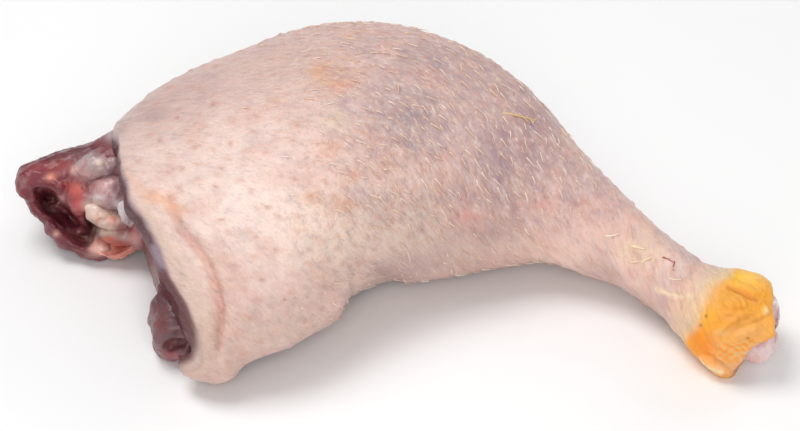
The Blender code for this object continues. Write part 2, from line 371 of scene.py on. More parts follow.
def raw_and_wet(shader, sink, radius, scale, wet, polish):
    """Light that sinks into raw flesh, under a film of water."""
    shader.inputs["Subsurface Weight"].default_value = sink
    shader.inputs["Subsurface Radius"].default_value = radius
    shader.inputs["Subsurface Scale"].default_value = scale
    shader.inputs["IOR"].default_value = 1.4
    shader.inputs["Coat Weight"].default_value = wet
    shader.inputs["Coat IOR"].default_value = 1.33
    shader.inputs["Coat Roughness"].default_value = polish


def skin_material():
    """Raw duck skin: moist and thin over fat and muscle, its fine slanting wrinkles catching the light."""
    material, tree, shader, where = new_material("raw duck skin")
    tint = node(tree, "Attribute", "Color", attribute_name="tint")
    smooth = node(tree, "Attribute", "Fac", attribute_name="smooth")
    grain = node(tree, "Attribute", "Vector", attribute_name="grain")
    drawn = node(tree, "Mapping", "Vector", {"Vector": grain, "Scale": (0.45, 1.0, 1.0)})
    # The grain is in millimetres: streaks 2.4 mm wide, wrinkles 1 mm.
    shape = {"Vector": drawn, "Scale": 1 / 2.4, "Detail": 5.0, "Roughness": 0.65}
    streaks = node(tree, "TexNoise", "Fac", shape)
    shape = {"Vector": drawn, "Scale": 1 / 1.0, "Detail": 4.0, "Roughness": 0.65}
    wrinkles = node(tree, "TexNoise", "Fac", shape)
    # The others are in metres: clouds 9 mm wide, spots 3 mm.
    shape = {"Vector": where, "Scale": 1000 / 9, "Detail": 4.0, "Roughness": 0.65}
    clouds = node(tree, "TexNoise", "Fac", shape)
    shape = {"Vector": where, "Scale": 1000 / 3.0, "Detail": 3.0, "Roughness": 0.6}
    spots = node(tree, "TexNoise", "Fac", shape)
    mask = {"Value": smooth, "From Min": 0, "From Max": 1, "To Min": 1.0, "To Max": 0.08}
    layers = (
        (clouds, 0.5, 0.68, 0.35, "#9C8896"),
        (clouds, 0.46, 0.3, 0.3, "#EDD2C9"),
        (spots, 0.56, 0.72, 0.4, "#DD9C8C"),
        (streaks, 0.52, 0.68, 0.5, "#9C8290"),
        (streaks, 0.47, 0.3, 0.5, "#F2DED6"),
        (wrinkles, 0.54, 0.7, 0.45, "#B08482"),
        (wrinkles, 0.45, 0.3, 0.45, "#F6E6DF"),
    )
    colour = lay_colours(tree, tint, layers, node(tree, "MapRange", "Result", mask))
    connect(tree, colour, shader, "Base Color")
    polish = {"Value": streaks, "From Min": 0.3, "From Max": 0.7, "To Min": 0.3, "To Max": 0.5}
    connect(tree, node(tree, "MapRange", "Result", polish), shader, "Roughness")
    raw_and_wet(shader, 0.18, (1.0, 0.45, 0.35), 0.0018, 0.25, 0.2)
    relief = raise_relief(tree, ((streaks, 0.0009, 0.8), (wrinkles, 0.0006, 0.9), (spots, 0.0005, 0.5)))
    connect(tree, relief, shader, "Normal")
    return material


def tissue_material(name, grain_mm, wet, sink, blood, rough=0.36, fibre=(1.0, 1.0, 1.0)):
    """Wet raw tissue coloured by the piece's own tint, with fibres or lumps of the given width."""
    material, tree, shader, where = new_material(name)
    tint = node(tree, "Attribute", "Color", attribute_name="tint")
    drawn = node(tree, "Mapping", "Vector", {"Vector": where, "Scale": fibre})
    shape = {"Vector": drawn, "Scale": 1000 / grain_mm, "Detail": 5.0, "Roughness": 0.6}
    lumps = node(tree, "TexNoise", "Fac", shape)
    shape = {"Vector": drawn, "Scale": 3500 / grain_mm, "Detail": 3.0, "Roughness": 0.6}
    fine = node(tree, "TexNoise", "Fac", shape)
    # Blood stains are 3.4 mm wide.
    shape = {"Vector": where, "Scale": 1000 / 3.4, "Detail": 3.0, "Roughness": 0.6}
    stains = node(tree, "TexNoise", "Fac", shape)
    layers = (
        (lumps, 0.5, 0.75, 0.2, "#4A1A1D"),
        (lumps, 0.45, 0.25, 0.2, "#E3C9C2"),
        (stains, 0.54, 0.68, blood, "#A8403C"),
    )
    connect(tree, lay_colours(tree, tint, layers), shader, "Base Color")
    polish = {"Value": fine, "From Min": 0.3, "From Max": 0.7, "To Min": rough - 0.1, "To Max": rough + 0.1}
    connect(tree, node(tree, "MapRange", "Result", polish), shader, "Roughness")
    raw_and_wet(shader, sink, (1.0, 0.35, 0.25), 0.002, wet, 0.12)
    connect(tree, raise_relief(tree, ((lumps, 0.0008, 0.6), (fine, 0.0003, 0.5))), shader, "Normal")
    return material


def quill_material():
    """Keratin of the feather stubs: pale straw, a little see-through, satin."""
    material, tree, shader, where = new_material("feather quill")
    tint = node(tree, "Attribute", "Color", attribute_name="tint")
    streaks = node(tree, "TexNoise", "Fac", {"Vector": where, "Scale": 1000 / 2.0})
    colour = lay_colours(tree, tint, ((streaks, 0.4, 0.7, 0.4, "#E2C6A2"),))
    connect(tree, colour, shader, "Base Color")
    shader.inputs["Roughness"].default_value = 0.38
    shader.inputs["Subsurface Weight"].default_value = 0.1
    shader.inputs["Subsurface Radius"].default_value = (1.0, 0.7, 0.5)
    shader.inputs["Subsurface Scale"].default_value = 0.0003
    return material


def laminate_material():
    """White laminate of the table: matt, and very slightly uneven."""
    material, tree, shader, where = new_material("white laminate")
    cast = node(tree, "TexNoise", "Fac", {"Vector": where, "Scale": 1000 / 60})
    colour = lay_colours(tree, linear("#F4F4F4"), ((cast, 0.4, 0.6, 0.2, "#F1F1F2"),))
    connect(tree, colour, shader, "Base Color")
    shader.inputs["Roughness"].default_value = 0.7
    return material


# Skin

INNER_RINGS = 9
EDGE_RINGS = 10
OUTER_RINGS = 246
SKIN_SIDES = 256
CUFF_RINGS = 0.32  # share of the rings spent on the finely folded cuff
CUFF_LENGTH = 0.16  # share of the leg's length that those rings take
LINING_DEPTH = 24.0  # how far the lining is followed in from the hip rim
LINING_START = 0.6
ANKLE_LINING_STEP = 1.2
HIP_EDGE = 0.9  # how far the rounded cut edges stand out, in millimetres
ANKLE_EDGE = 0.8
TUCK_SIDES = 5
GRAIN_SLANT = 42.0  # degrees; the fine wrinkles and stubs run down towards the ankle
MOST_FOLLICLES = 6000
FOLLICLE_TRIES = 30000
WIDEST_APART = 5.4  # millimetres between follicles near the hip, and how much closer they come further down
CLOSER_BY = 2.9
PIMPLE_HIGH = 0.34
PIMPLE_LONG = 1.5
PIMPLE_WIDE = 0.8
PIMPLE_AHEAD = 0.6  # how far ahead of the follicle the pimple's top lies
PIMPLE_REACH = 3.5


# How far the cut edge stands back from the CAD's rim, by angle: the outside of the skin, and its lining.
# The cut is slanted, so the lining shows as a band inside the cream edge; the lowest lip reaches forward.
OUTER_EDGE = (
    (0, 1.6), (60, 2.2), (90, 1.0), (110, 1.6), (120, 3.0), (130, 4.2), (140, 4.2), (150, 5.2), (160, 6.0),
    (170, 6.4), (180, 5.6), (190, 2.8), (198, -2.0), (206, -6.8), (214, -7.8), (224, -6.0), (250, 0),
)
INNER_EDGE = (
    (0, 0.4), (60, 0.4), (90, -1.2), (110, -1.2), (120, 0.0), (130, 0.8), (140, 0.8), (150, 0.4),
    (160, 0.8), (170, 0.4), (180, -0.5), (190, -0.8), (198, -3.6), (206, -7.2), (214, -7.8), (224, -6.0),
    (250, 0),
)

# By angle: where the yellow shank skin begins, back from the ankle end, and how far its lip reaches out.
CUFF_LINE = ((0, -17), (90, -15.5), (130, -15.0), (170, -17), (210, -21), (240, -22), (270, -21))
CUFF_LIP = (
    (0, 0), (20, -1.5), (40, -2.4), (60, -0.9), (75, 0.6), (90, 1.8), (110, 2.6), (130, 2.9), (148, 1.2),
    (162, 0), (270, 0),
)


def rim_wander(angle):
    """The knife's wavering at the hip rim."""
    a = np.radians(angle)
    return 0.35 * np.sin(5 * a + 1.0) + 0.3 * np.sin(11 * a + 2.0) + 0.2 * np.sin(19 * a)


def skin_layout():
    """Every point of the skin sheet: distance along, angle, depth, and what share is lining."""
    rings = []
    for k in range(INNER_RINGS):
        rings.append((-LINING_DEPTH * (1 - k / INNER_RINGS) - LINING_START, 1.0, 1.0))
    for k in range(EDGE_RINGS):
        turn = math.pi * (k + 0.5) / EDGE_RINGS
        deep = (1 + math.cos(turn)) / 2
        rings.append((HIP_EDGE * math.sin(turn), deep, 0.15 + 0.7 * min(1.0, deep * 1.5)))
    outer_start = len(rings)
    share = []
    for k in range(OUTER_RINGS):
        rings.append((0.0, 0.0, 0.0))
        share.append(np.interp(k / (OUTER_RINGS - 1), (0, 1 - CUFF_RINGS, 1), (0, 1 - CUFF_LENGTH, 1)))
    ankle_start = len(rings)
    for k in range(EDGE_RINGS):
        turn = math.pi * (k + 0.5) / EDGE_RINGS
        rings.append((ANKLE_EDGE * math.sin(turn), (1 - math.cos(turn)) / 2, 0.0))
    for k in range(INNER_RINGS):
        rings.append((-ANKLE_LINING_STEP * (k + 1), 1.0, 0.0))
    columns = len(rings)
    rows = SKIN_SIDES + 1 + 2 * TUCK_SIDES
    t = np.concatenate([np.zeros(TUCK_SIDES), np.linspace(0, 1, SKIN_SIDES + 1), np.ones(TUCK_SIDES)])
    tuck = np.zeros(rows)
    for k in range(TUCK_SIDES):
        tuck[k] = 1 - k / TUCK_SIDES
        tuck[rows - 1 - k] = 1 - k / TUCK_SIDES
    along = np.zeros((columns, rows))
    angle = np.zeros((columns, rows))
    depth = np.zeros((columns, rows))
    inner = np.zeros((columns, rows))
    for c, (offset, deep, lining) in enumerate(rings):
        if c < outer_start:
            rough, at = max(-offset, 0.0), 0.0
        elif c < ankle_start:
            at = share[c - outer_start]
            rough = LENGTH * at
        else:
            rough, at = LENGTH, 1.0
        bare = window(rough)
        a = 270 + bare + (360 - 2 * bare) * t
        first = hip_rim(a) + rim_wander(a)
        first += through_angles(OUTER_EDGE, a) * (1 - deep) + through_angles(INNER_EDGE, a) * deep
        last = LENGTH - ANKLE_LEAN * (1 - np.cos(np.radians(a - 140))) / 2 + through_angles(CUFF_LIP, a)
        if c < outer_start:
            here = first - offset
        elif c < ankle_start:
            here = first + (last - first) * at
        else:
            here = last + offset
        thick = skin_thickness(np.clip(here, 0, LENGTH))
        closed = smoothstep(2, 14, bare)
        along[c] = here
        angle[c] = a
        depth[c] = np.maximum(thick * deep, thick * tuck * closed)
        inner[c] = np.maximum(lining, tuck * closed * 0.5)
    return along, angle, depth, inner, outer_start, ankle_start


# Folds that the photograph shows: line in its pixels, half width in pixels, height in millimetres.
FOLDS = (
    (((352, 292), (353, 280), (362, 266)), 4.0, -0.9),
    (((342, 300), (345, 284), (350, 270)), 6.0, 0.6),
    (((731, 277), (745, 275), (758, 281), (770, 294)), 7.0, 0.9),
    (((728, 287), (742, 291), (757, 300)), 2.4, -1.2),
    (((728, 282), (744, 286), (762, 297)), 3.0, 0.4),
    (((716, 305), (726, 308), (736, 310), (752, 309)), 2.5, -0.7),
    (((723, 311), (737, 313), (752, 313)), 2.5, 0.5),
    (((724, 302), (729, 308)), 1.6, 0.7),
    (((730, 301), (734, 307)), 1.6, 0.7),
    (((736, 300), (740, 306)), 1.6, 0.7),
    (((743, 300), (746, 306)), 1.6, 0.7),
    (((719, 337), (726, 331), (733, 325), (743, 320), (758, 314)), 2.4, -0.9),
    (((722, 341), (733, 331), (746, 325), (763, 320), (771, 312)), 2.2, -0.7),
    (((714, 334), (724, 326), (740, 316)), 4.0, 0.8),
    (((728, 341), (744, 332), (762, 326)), 5.0, 0.9),
    (((712, 328), (722, 321), (738, 313)), 2.4, -0.6),
    (((700, 356), (710, 365), (722, 372)), 3.0, 0.9),
    (((704, 352), (714, 361), (726, 368)), 2.4, -0.9),
    (((657, 289), (672, 294), (688, 296)), 2.0, -0.5),
    (((766, 309), (766, 313)), 2.4, 0.9),
    (((166, 196), (181, 229), (199, 249), (208, 265), (217, 289), (220, 306), (221, 324), (219, 347),
      (213, 369)), 3.8, -2.1),
    (((150, 215), (166, 240), (182, 262), (196, 290), (206, 318), (207, 345), (199, 368)), 8.0, 1.0),
    (((184, 218), (206, 238), (222, 262), (233, 300), (236, 340)), 5.0, 0.7),
    (((192, 214), (216, 232), (236, 262), (246, 300)), 2.5, -0.5),
)


def along_the_grain(where):
    """Turns distances along and round the leg so that the first runs with the skin's fine wrinkles."""
    turn = math.radians(GRAIN_SLANT)
    along = where[:, 0] * math.cos(turn) + where[:, 1] * math.sin(turn)
    across = where[:, 1] * math.cos(turn) - where[:, 0] * math.sin(turn)
    return np.stack([along, across, np.zeros(len(where))], axis=-1)


def skin_relief(flat, where, turned, spots, outside, shown, cuff):
    """Height of the relief: slanting wrinkles, uneven fat below, the cuff's beads and the drawn folds."""
    along = where[:, 0]
    grain = along_the_grain(where)
    coarse = 0.6 + 0.4 * smoothstep(20, 60, along)
    height = 0.55 * cloud(flat, 17, 1)
    height += 0.34 * cloud(grain * (0.35, 1, 1), 3.4, 2) * outside * coarse
    height += 0.24 * cloud(grain * (0.4, 1, 1), 2.0, 3) * outside * coarse
    height += 0.2 * cloud(where * (0.6, 1, 1), 2.2, 4) * cuff
    height += 0.3 * cloud(where, 1.5, 12) * cuff * smoothstep(322, 345, spots[:, 1])
    height += 0.35 * bump(along - hip_rim(turned), 4, 5) * cloud(where, 3.0, 6)
    for line, width, tall in FOLDS:
        gap = line_distance(spots, line)
        tips = np.minimum(np.hypot(*(spots - line[0]).T), np.hypot(*(spots - line[-1]).T))
        reach = 0.3 * np.hypot(*np.subtract(line[0], line[-1]))
        height += tall * bump(gap, 0, width) * (0.3 + 0.7 * smoothstep(0, reach, tips)) * shown
    return height


def raise_pimples(height, flat, outside, follicles):
    """Raises the skin just ahead of each follicle, and tells how far each point belongs to a pimple."""
    halo = np.zeros(len(flat))
    for index, lie, _length in follicles:
        away = flat - flat[index]
        near = np.where((np.abs(away) < PIMPLE_REACH).all(axis=1))[0]
        ahead = away[near] @ lie
        side = np.linalg.norm(away[near] - ahead[:, None] * lie, axis=1)
        shape = np.exp(-(((ahead - PIMPLE_AHEAD) / PIMPLE_LONG) ** 2) - (side / PIMPLE_WIDE) ** 2)
        height[near] += PIMPLE_HIGH * shape * outside[near]
        halo[near] = np.maximum(halo[near], shape)
    return halo


def turn_outward(obj, outward):
    """Turns all faces over when the middle one looks inwards."""
    bm = bmesh.new()
    bm.from_mesh(obj.data)
    bm.faces.ensure_lookup_table()
    middle = bm.faces[len(bm.faces) // 2]
    if middle.normal.dot(Vector(outward[middle.verts[0].index])) < 0:
        bmesh.ops.reverse_faces(bm, faces=bm.faces)
    bm.to_mesh(obj.data)
    bm.free()


def plain_share(along, spots, cuff, lining):
    """Where the fine streaks fade: at the hip, on the shank, low down, on cuff, lining and crease."""
    plain = 0.55 * (1 - smoothstep(30, 85, along))
    shank = 0.5 * smoothstep(135, 160, along)
    low = 0.5 * smoothstep(212, 248, spots[:, 1])
    crease = 0.8 * bump(line_distance(spots, STREAKS[0][0]), 0, 12)
    for other in (cuff, shank, low, smoothstep(0.1, 0.3, lining), crease):
        plain = np.maximum(plain, other)
    return plain


def make_skin():
    """The skin with its relief and colours, and the points, directions and follicles that the stubs need."""
    along, angle, depth, inner, outer_start, ankle_start = skin_layout()
    sheet = leg_point(along, angle, depth)
    columns, rows = along.shape
    girth = np.linalg.norm(np.diff(sheet, axis=1), axis=2)
    around = np.concatenate([np.zeros((columns, 1)), np.cumsum(girth, axis=1)], axis=1)
    around -= around[:, [int(rows * 0.7)]]
    normal = normals_of(sheet)
    if normal[columns // 2, rows // 2, 2] < 0:
        normal = -normal
    flat = sheet.reshape(-1, 3)
    outward = normal.reshape(-1, 3)
    along, turned, lining = along.ravel(), angle.ravel(), inner.ravel()
    where = np.stack([along, around.ravel(), np.zeros(len(flat))], axis=-1)
    spots = seen(flat)
    outside = 1 - smoothstep(0.05, 0.45, lining)
    shown = smoothstep(0.0, 0.25, outward @ TO_CAMERA) * outside
    cuff_line = LENGTH + through_angles(CUFF_LINE, turned) + 2.5 * cloud(where, 8, 5)
    soft = 2.7 + 3.0 * bump(np.mod(turned, 360), 125, 22)
    cuff = smoothstep(0, 1, 0.5 + 0.5 * (along - cuff_line) / soft)

    height = skin_relief(flat, where, turned, spots, outside, shown, cuff)
    follicles = pick_follicles(flat, outward, rows, outer_start, ankle_start, along, cuff)
    halo = raise_pimples(height, flat, outside, follicles)
    # The skin stays flat where it rests on the table.
    room = np.where(flat[:, 2] < RESTING_BELOW, 0.0, 1.0)
    points = flat + outward * (height * room)[:, None]
    points[:, 2] = np.maximum(points[:, 2], OFF_TABLE)

    bm, column, row = grid(columns, rows)
    order = column * rows + row
    set_points(bm, points[order])
    obj = finish_piece("skin_surface", bm, skin_material(), "skin")
    turn_outward(obj, outward[order])
    tint = paint_skin(spots, along, turned, lining, cuff, halo, where, flat, shown)
    add_colour(obj, "tint", tint[order])
    layer = obj.data.attributes.new("grain", "FLOAT_VECTOR", "POINT")
    layer.data.foreach_set("vector", along_the_grain(where)[order].ravel())
    add_value(obj, "smooth", plain_share(along, spots, cuff, lining)[order])
    return points, outward, follicles


def pick_follicles(flat, outward, rows, outer_start, ankle_start, along, cuff):
    """Spreads follicles over the outside, closer together over the thigh's far end and the drumstick.

    Each is a point's number, the way its feather lay, and its stub's length, which is 0 for a bare follicle.
    """
    rng = random.Random(4)
    chosen = []
    places = np.zeros((MOST_FOLLICLES, 3))
    low = smoothstep(232, 250, seen(flat)[:, 1]) * smoothstep(-0.1, 0.1, outward[:, 2])
    candidates = [
        c * rows + r
        for c in range(outer_start + 8, ankle_start - 30)
        for r in range(TUCK_SIDES + 3, rows - TUCK_SIDES - 3)
    ]
    rng.shuffle(candidates)
    for index in candidates[:FOLLICLE_TRIES]:
        if cuff[index] > 0.3 or len(chosen) >= len(places):
            continue
        far = smoothstep(25, 70, along[index]) * (1 - 0.8 * smoothstep(125, 150, along[index]))
        apart = WIDEST_APART - CLOSER_BY * far
        if chosen and (np.linalg.norm(places[: len(chosen)] - flat[index], axis=1) < apart).any():
            continue
        c, r = divmod(index, rows)
        ahead = flat[(c + 1) * rows + r] - flat[(c - 1) * rows + r]
        down = flat[c * rows + r + 1] - flat[c * rows + r - 1]
        ahead /= np.linalg.norm(ahead)
        down /= np.linalg.norm(down)
        slant = math.radians(rng.gauss(GRAIN_SLANT, 13))
        lie = ahead * math.cos(slant) + down * math.sin(slant)
        lie /= np.linalg.norm(lie)
        places[len(chosen)] = flat[index]
        length = rng.uniform(1.2, 4.0) * (0.5 + 0.5 * far)
        feathered = rng.random() < (0.1 + 0.48 * far) * (1 - 0.75 * low[index])
        chosen.append((index, lie, length if feathered else 0.0))
    return chosen


# Patches of colour on the skin: middle and reach in the photograph's pixels, colour, strength. Among them are
# a painted highlight, painted glints and strips of painted shade.
PATCHES = (
    # The first patch is a painted highlight: the broad bright area where the light falls on the thigh's upper
    # left.
    (242, 192, 98, 78, "#F6E0DB", 0.88), (185, 150, 60, 45, "#ECCFCA", 0.8),
    (180, 88, 60, 26, "#C7A4A4", 0.8), (145, 112, 30, 16, "#C09F9F", 0.8),
    (118, 128, 10, 16, "#B79A9C", 0.7), (300, 62, 80, 26, "#D0B0AC", 0.75),
    (420, 100, 75, 50, "#A9929A", 0.85), (405, 118, 26, 18, "#958290", 0.7),
    (398, 142, 34, 14, "#A38D96", 0.6), (420, 55, 24, 10, "#8E8290", 0.6),
    (470, 60, 60, 26, "#B79BA2", 0.7), (520, 140, 50, 60, "#A88492", 0.88),
    (485, 165, 26, 26, "#A48F9C", 0.6), (542, 163, 18, 24, "#9C7F8F", 0.75),
    (500, 205, 60, 32, "#C1A2A7", 0.65), (337, 238, 66, 40, "#F8E0D2", 0.85),
    (410, 210, 40, 30, "#D9C0B6", 0.6), (430, 245, 60, 16, "#E0C8BC", 0.6),
    # The first two patches on the next line are painted shade along the thigh's lower edge, above the bend.
    (430, 262, 60, 8, "#B7959A", 0.5), (388, 271, 28, 8, "#AF969C", 0.8), (520, 265, 60, 7, "#C9A6A2", 0.5),
    (470, 217, 18, 10, "#DF9496", 0.8), (540, 204, 22, 8, "#D98F8B", 0.7),
    (480, 232, 40, 10, "#CDA09E", 0.5), (600, 215, 70, 45, "#E4B4AB", 0.75),
    (590, 190, 26, 20, "#C9A3A2", 0.6), (592, 186, 12, 10, "#B0919B", 0.5),
    (612, 212, 14, 12, "#BC98A0", 0.5), (650, 243, 14, 8, "#CDA9B2", 0.5),
    (648, 228, 8, 10, "#F8D2B4", 0.6), (584, 257, 60, 20, "#F8D3C8", 0.8),
    (655, 276, 36, 22, "#F5CDC2", 0.75), (684, 303, 18, 16, "#EBB3A2", 0.8),
    # The first patch on the next line is painted shade low on the drumstick.
    (640, 303, 34, 8, "#D3A198", 0.7), (321, 71, 8, 6, "#EE9A4E", 0.85), (340, 86, 10, 6, "#D5705A", 0.8),
    (332, 78, 22, 14, "#E0B088", 0.55), (332, 148, 14, 10, "#E39C70", 0.6),
    (352, 175, 12, 7, "#E0936F", 0.6), (312, 197, 9, 7, "#E2A078", 0.6), (346, 205, 16, 8, "#E0996F", 0.65),
    (425, 71, 16, 6, "#BE7F78", 0.6), (501, 90, 14, 6, "#A5786F", 0.5), (388, 168, 14, 7, "#B88A74", 0.6),
    (440, 157, 7, 5, "#DB9A7C", 0.6), (578, 203, 6, 4, "#C06F58", 0.7), (320, 170, 26, 30, "#EFC6BA", 0.5),
    (270, 340, 60, 30, "#D8B9AE", 0.6), (225, 350, 26, 30, "#D9B4AC", 0.5),
    (255, 300, 6, 4, "#D98C88", 0.5), (244, 290, 5, 4, "#DB908A", 0.5), (640, 250, 24, 12, "#E8CDA6", 0.5),
    (275, 102, 8, 6, "#E2AE8A", 0.6), (300, 124, 10, 8, "#DDAF98", 0.5), (335, 120, 12, 10, "#E5D4B8", 0.6),
    (223, 258, 9, 5, "#D9A68C", 0.5), (228, 286, 7, 5, "#DDA183", 0.5), (238, 280, 16, 14, "#CFA59F", 0.45),
    # Two painted highlights: wet glints on the flap's rolled edge.
    (199, 261, 3, 5, "#FFEEDC", 0.8), (205, 287, 3, 5, "#FFEEDC", 0.8),
)
# Small red-brown pits on the smooth part of the thigh, in the photograph's pixels.
PITS = (
    (195, 148), (230, 144), (251, 192), (216, 187), (176, 117), (205, 127), (139, 162), (160, 140),
    (182, 169), (179, 187), (222, 168), (281, 176), (268, 208), (292, 140), (255, 236), (228, 232),
    (276, 250), (170, 172), (214, 105), (248, 108), (190, 212), (234, 265), (262, 280), (224, 305),
    (250, 318), (285, 300),
)
# Streaks of colour: line and half width in the photograph's pixels, colour, strength.
STREAKS = (
    (((147, 215), (164, 240), (182, 266), (195, 295), (206, 322), (208, 345), (198, 372)), 11,
     "#D8BCB0", 0.9),
    (((205, 330), (206, 350), (198, 370)), 9, "#D2AFA4", 0.8),
    # A darker red line along the crease behind the rolled rim: partly the skin's own reddish colour, partly
    # painted shade in the crease.
    (((170, 199), (181, 229), (199, 249), (208, 265), (217, 289), (220, 306), (221, 324), (219, 347)), 4,
     "#C98A80", 0.75),
    (((150, 196), (166, 200), (176, 212)), 8, "#EDB091", 0.75),
    (((126, 172), (138, 185), (146, 196)), 5, "#E8B7A2", 0.6),
    (((215, 245), (232, 275), (240, 320)), 9, "#D9AFA7", 0.5),
    (((182, 376), (205, 378), (225, 372)), 8, "#D9B0A7", 0.7),
    (((656, 289), (677, 296), (692, 295)), 3, "#F6DDC0", 0.8),
)
# The same for the lining: a lavender patch, and the cream lip at its foot.
LINING_STREAKS = (
    (((156, 248), (160, 256), (164, 264)), 5, "#A48E9E", 0.75),
    (((206, 330), (206, 350), (199, 366), (184, 374)), 9, "#DDC2B6", 0.97),
)
# The same for the yellow cuff: a painted highlight on its upper fold, deep orange and beaded low down, peach
# at the bottom.
CUFF_PATCHES = (
    # The first two patches are a painted highlight on the cuff's upper fold.
    (748, 277, 20, 10, "#FFCE5E", 0.9), (735, 278, 8, 8, "#FFC233", 0.8),
    (722, 300, 14, 10, "#F0AE4A", 0.7), (748, 300, 16, 8, "#EFA33A", 0.7),
    (735, 318, 20, 8, "#F3A544", 0.7), (706, 314, 7, 8, "#FCBB3C", 0.8), (760, 330, 14, 12, "#F5B062", 0.7),
    (722, 333, 8, 4, "#F9C07C", 0.8), (697, 336, 13, 9, "#FF9A08", 0.97),
    (708, 347, 13, 10, "#FF8E00", 0.97), (745, 348, 14, 7, "#F6BC70", 0.5),
    (738, 356, 16, 5, "#F3BE76", 0.6), (742, 332, 16, 5, "#FCBB74", 0.6),
    (725, 364, 16, 8, "#EFAE72", 0.85), (738, 372, 14, 8, "#EDA872", 0.85),
    (748, 368, 10, 12, "#E5B3A0", 0.7),
)
# The cream ridge at the cuff's foot, and a pale wart.
CUFF_STREAKS = (
    (((701, 359), (707, 365), (714, 369), (721, 372)), 2.8, "#F9E6B8", 0.9),
    (((766, 310), (766, 312)), 2.6, "#FFE09C", 0.95),
)
BEAD = 1.9  # spacing of the horny beads low on the cuff, in millimetres
# Dark specks on the cuff, in the photograph's pixels.
CUFF_DOTS = ((701, 325), (706, 316), (748, 338), (735, 377))


def paint_skin(spots, along, angle, lining, cuff, halo, where, flat, shown):
    """Colour of every point of the skin, laid on in patches as a painter would.

    Small marks stay on the side that the photograph shows.
    """
    tint = np.tile(np.array(linear("#DEBAB7")[:3]), (len(spots), 1))
    ragged = 0.55 * cloud(along_the_grain(where) * (0.4, 1, 1), 5, 21) + 0.3 * cloud(flat, 3, 22)
    for x, y, wide, high, code, strength in PATCHES:
        uneven = 1 + 0.9 * ragged * (wide < 60)
        tint = mix(tint, code, strength * near_spot(spots, x, y, wide, high) * uneven)
    for x, y in PITS:
        gap = np.hypot(spots[:, 0] - x, (spots[:, 1] - y) * 1.3)
        tint = mix(tint, "#CF958C", 0.45 * bump(gap, 0, 4.0) * shown)
        tint = mix(tint, "#A8544A", 0.6 * bump(gap, 0, 1.9) * shown)
    tint = mix(tint, "#B9A0A6", 0.35 * smoothstep(0.05, 0.5, cloud(flat, 13, 8)) * smoothstep(40, 90, along))
    tint = mix(tint, "#D9A79C", 0.35 * smoothstep(0.1, 0.5, cloud(flat, 9, 9)))
    tint = mix(tint, "#CF9079", halo * np.where(cloud(flat, 6, 10) > -0.1, 0.5, 0.15))
    tint = paint_lines(tint, spots, STREAKS, 1)

    # Yellow horny skin of the shank, deep orange and beaded low down, paler where the skins meet.
    yellow = mix(tint, "#FAAA2C", np.ones(len(tint)))
    slanted = along_the_grain(where) + np.stack([2.2 * cloud(where, 5, 12)] * 3, axis=-1)
    rows = 0.5 * (np.cos(slanted[:, 0] * 2 * math.pi / BEAD) + np.cos(slanted[:, 1] * 2 * math.pi / BEAD))
    beads = smoothstep(-0.1, 0.6, rows + 0.8 * cloud(where, 2.4, 15) + 0.6 * cloud(where, 6, 16))
    for x, y, wide, high, code, strength in CUFF_PATCHES:
        yellow = mix(yellow, code, strength * near_spot(spots, x, y, wide, high))
    low = smoothstep(332, 346, spots[:, 1]) * (1 - smoothstep(356, 366, spots[:, 1]))
    yellow = mix(yellow, "#FF9A00", 0.9 * low * beads)
    yellow = mix(yellow, "#F6C285", 0.5 * low * (1 - beads) * smoothstep(706, 720, spots[:, 0]))
    yellow = paint_lines(yellow, spots, CUFF_STREAKS, shown)
    # Painted shade: deeper orange along the cuff's deepest creases.
    for line, width, tall in FOLDS:
        if tall < -0.9 and line[0][0] > 700:
            gap = line_distance(spots, line)
            yellow = mix(yellow, "#D07212", 0.7 * bump(gap, 0, width * 0.9) * shown)
    for x, y in CUFF_DOTS:
        gap = np.hypot(spots[:, 0] - x, spots[:, 1] - y)
        yellow = mix(yellow, "#7A4A1A", 0.9 * bump(gap, 0, 1.5) * shown)
    edge = bump(cuff, 0.35, 0.35)
    fading = smoothstep(-13, 0, along - (LENGTH + through_angles(CUFF_LINE, angle)))
    tint = mix(tint, "#F0CFA4", 0.75 * fading)
    tint = tint * (1 - cuff[:, None]) + yellow * cuff[:, None]
    tint = mix(tint, "#F0D9A8", 0.35 * edge)

    # The lining: grey-mauve membrane at the cut edge, maroon further in.
    lined = smoothstep(0.22, 0.5, lining) * (along < 60)
    upper = 1 - smoothstep(255, 280, spots[:, 1])
    tint = mix(tint, "#58101C", 0.97 * lined)
    tint = mix(tint, "#AC929C", 0.85 * lined * upper * smoothstep(-0.4, 0.0, cloud(flat, 5, 14)))
    tint = mix(tint, "#4C0F1A", 0.95 * lined * upper * smoothstep(0.42, 0.58, lining))
    for line, wide, code, strength in LINING_STREAKS:
        gap = line_distance(spots, line)
        tint = mix(tint, code, strength * (1 - smoothstep(0.3, 1.6, gap / wide)) * lined)
    return tint


# Feather stubs

STUB_RADIUS = 0.18  # millimetres
STUB_COLOURS = ("#EAD8CC", "#EBD5C2", "#F1E5DB", "#E6CDB2", "#DDBDB0")
# Longer quills, from and to, in the photograph's pixels, their half thickness and colour.
LONG_QUILLS = (
    ((503, 113), (532, 122), 0.32, "#E8C888"),
    ((532, 123), (533, 116), 0.28, "#E8C888"),
    ((520, 115), (529, 121), 0.24, "#E8C888"),
    ((606, 236), (618, 238), 0.32, "#F6E4CC"),
    ((632, 246), (645, 250), 0.36, "#F3DDB8"),
    ((640, 262), (652, 256), 0.36, "#F3DDB8"),
    ((628, 262), (641, 264), 0.28, "#F3DDB8"),
    ((668, 278), (680, 284), 0.26, "#F3DFC4"),
)
# A thread of dried blood on the drumstick, given in the same way.
SCRATCH = (
    ((663, 257), (669, 261), 0.24, "#8E0F12"),
    ((668, 260), (674, 262), 0.22, "#9C1416"),
    ((674, 261), (674, 267), 0.22, "#9C1416"),
    ((672, 269), (674, 271), 0.2, "#A8201E"),
)


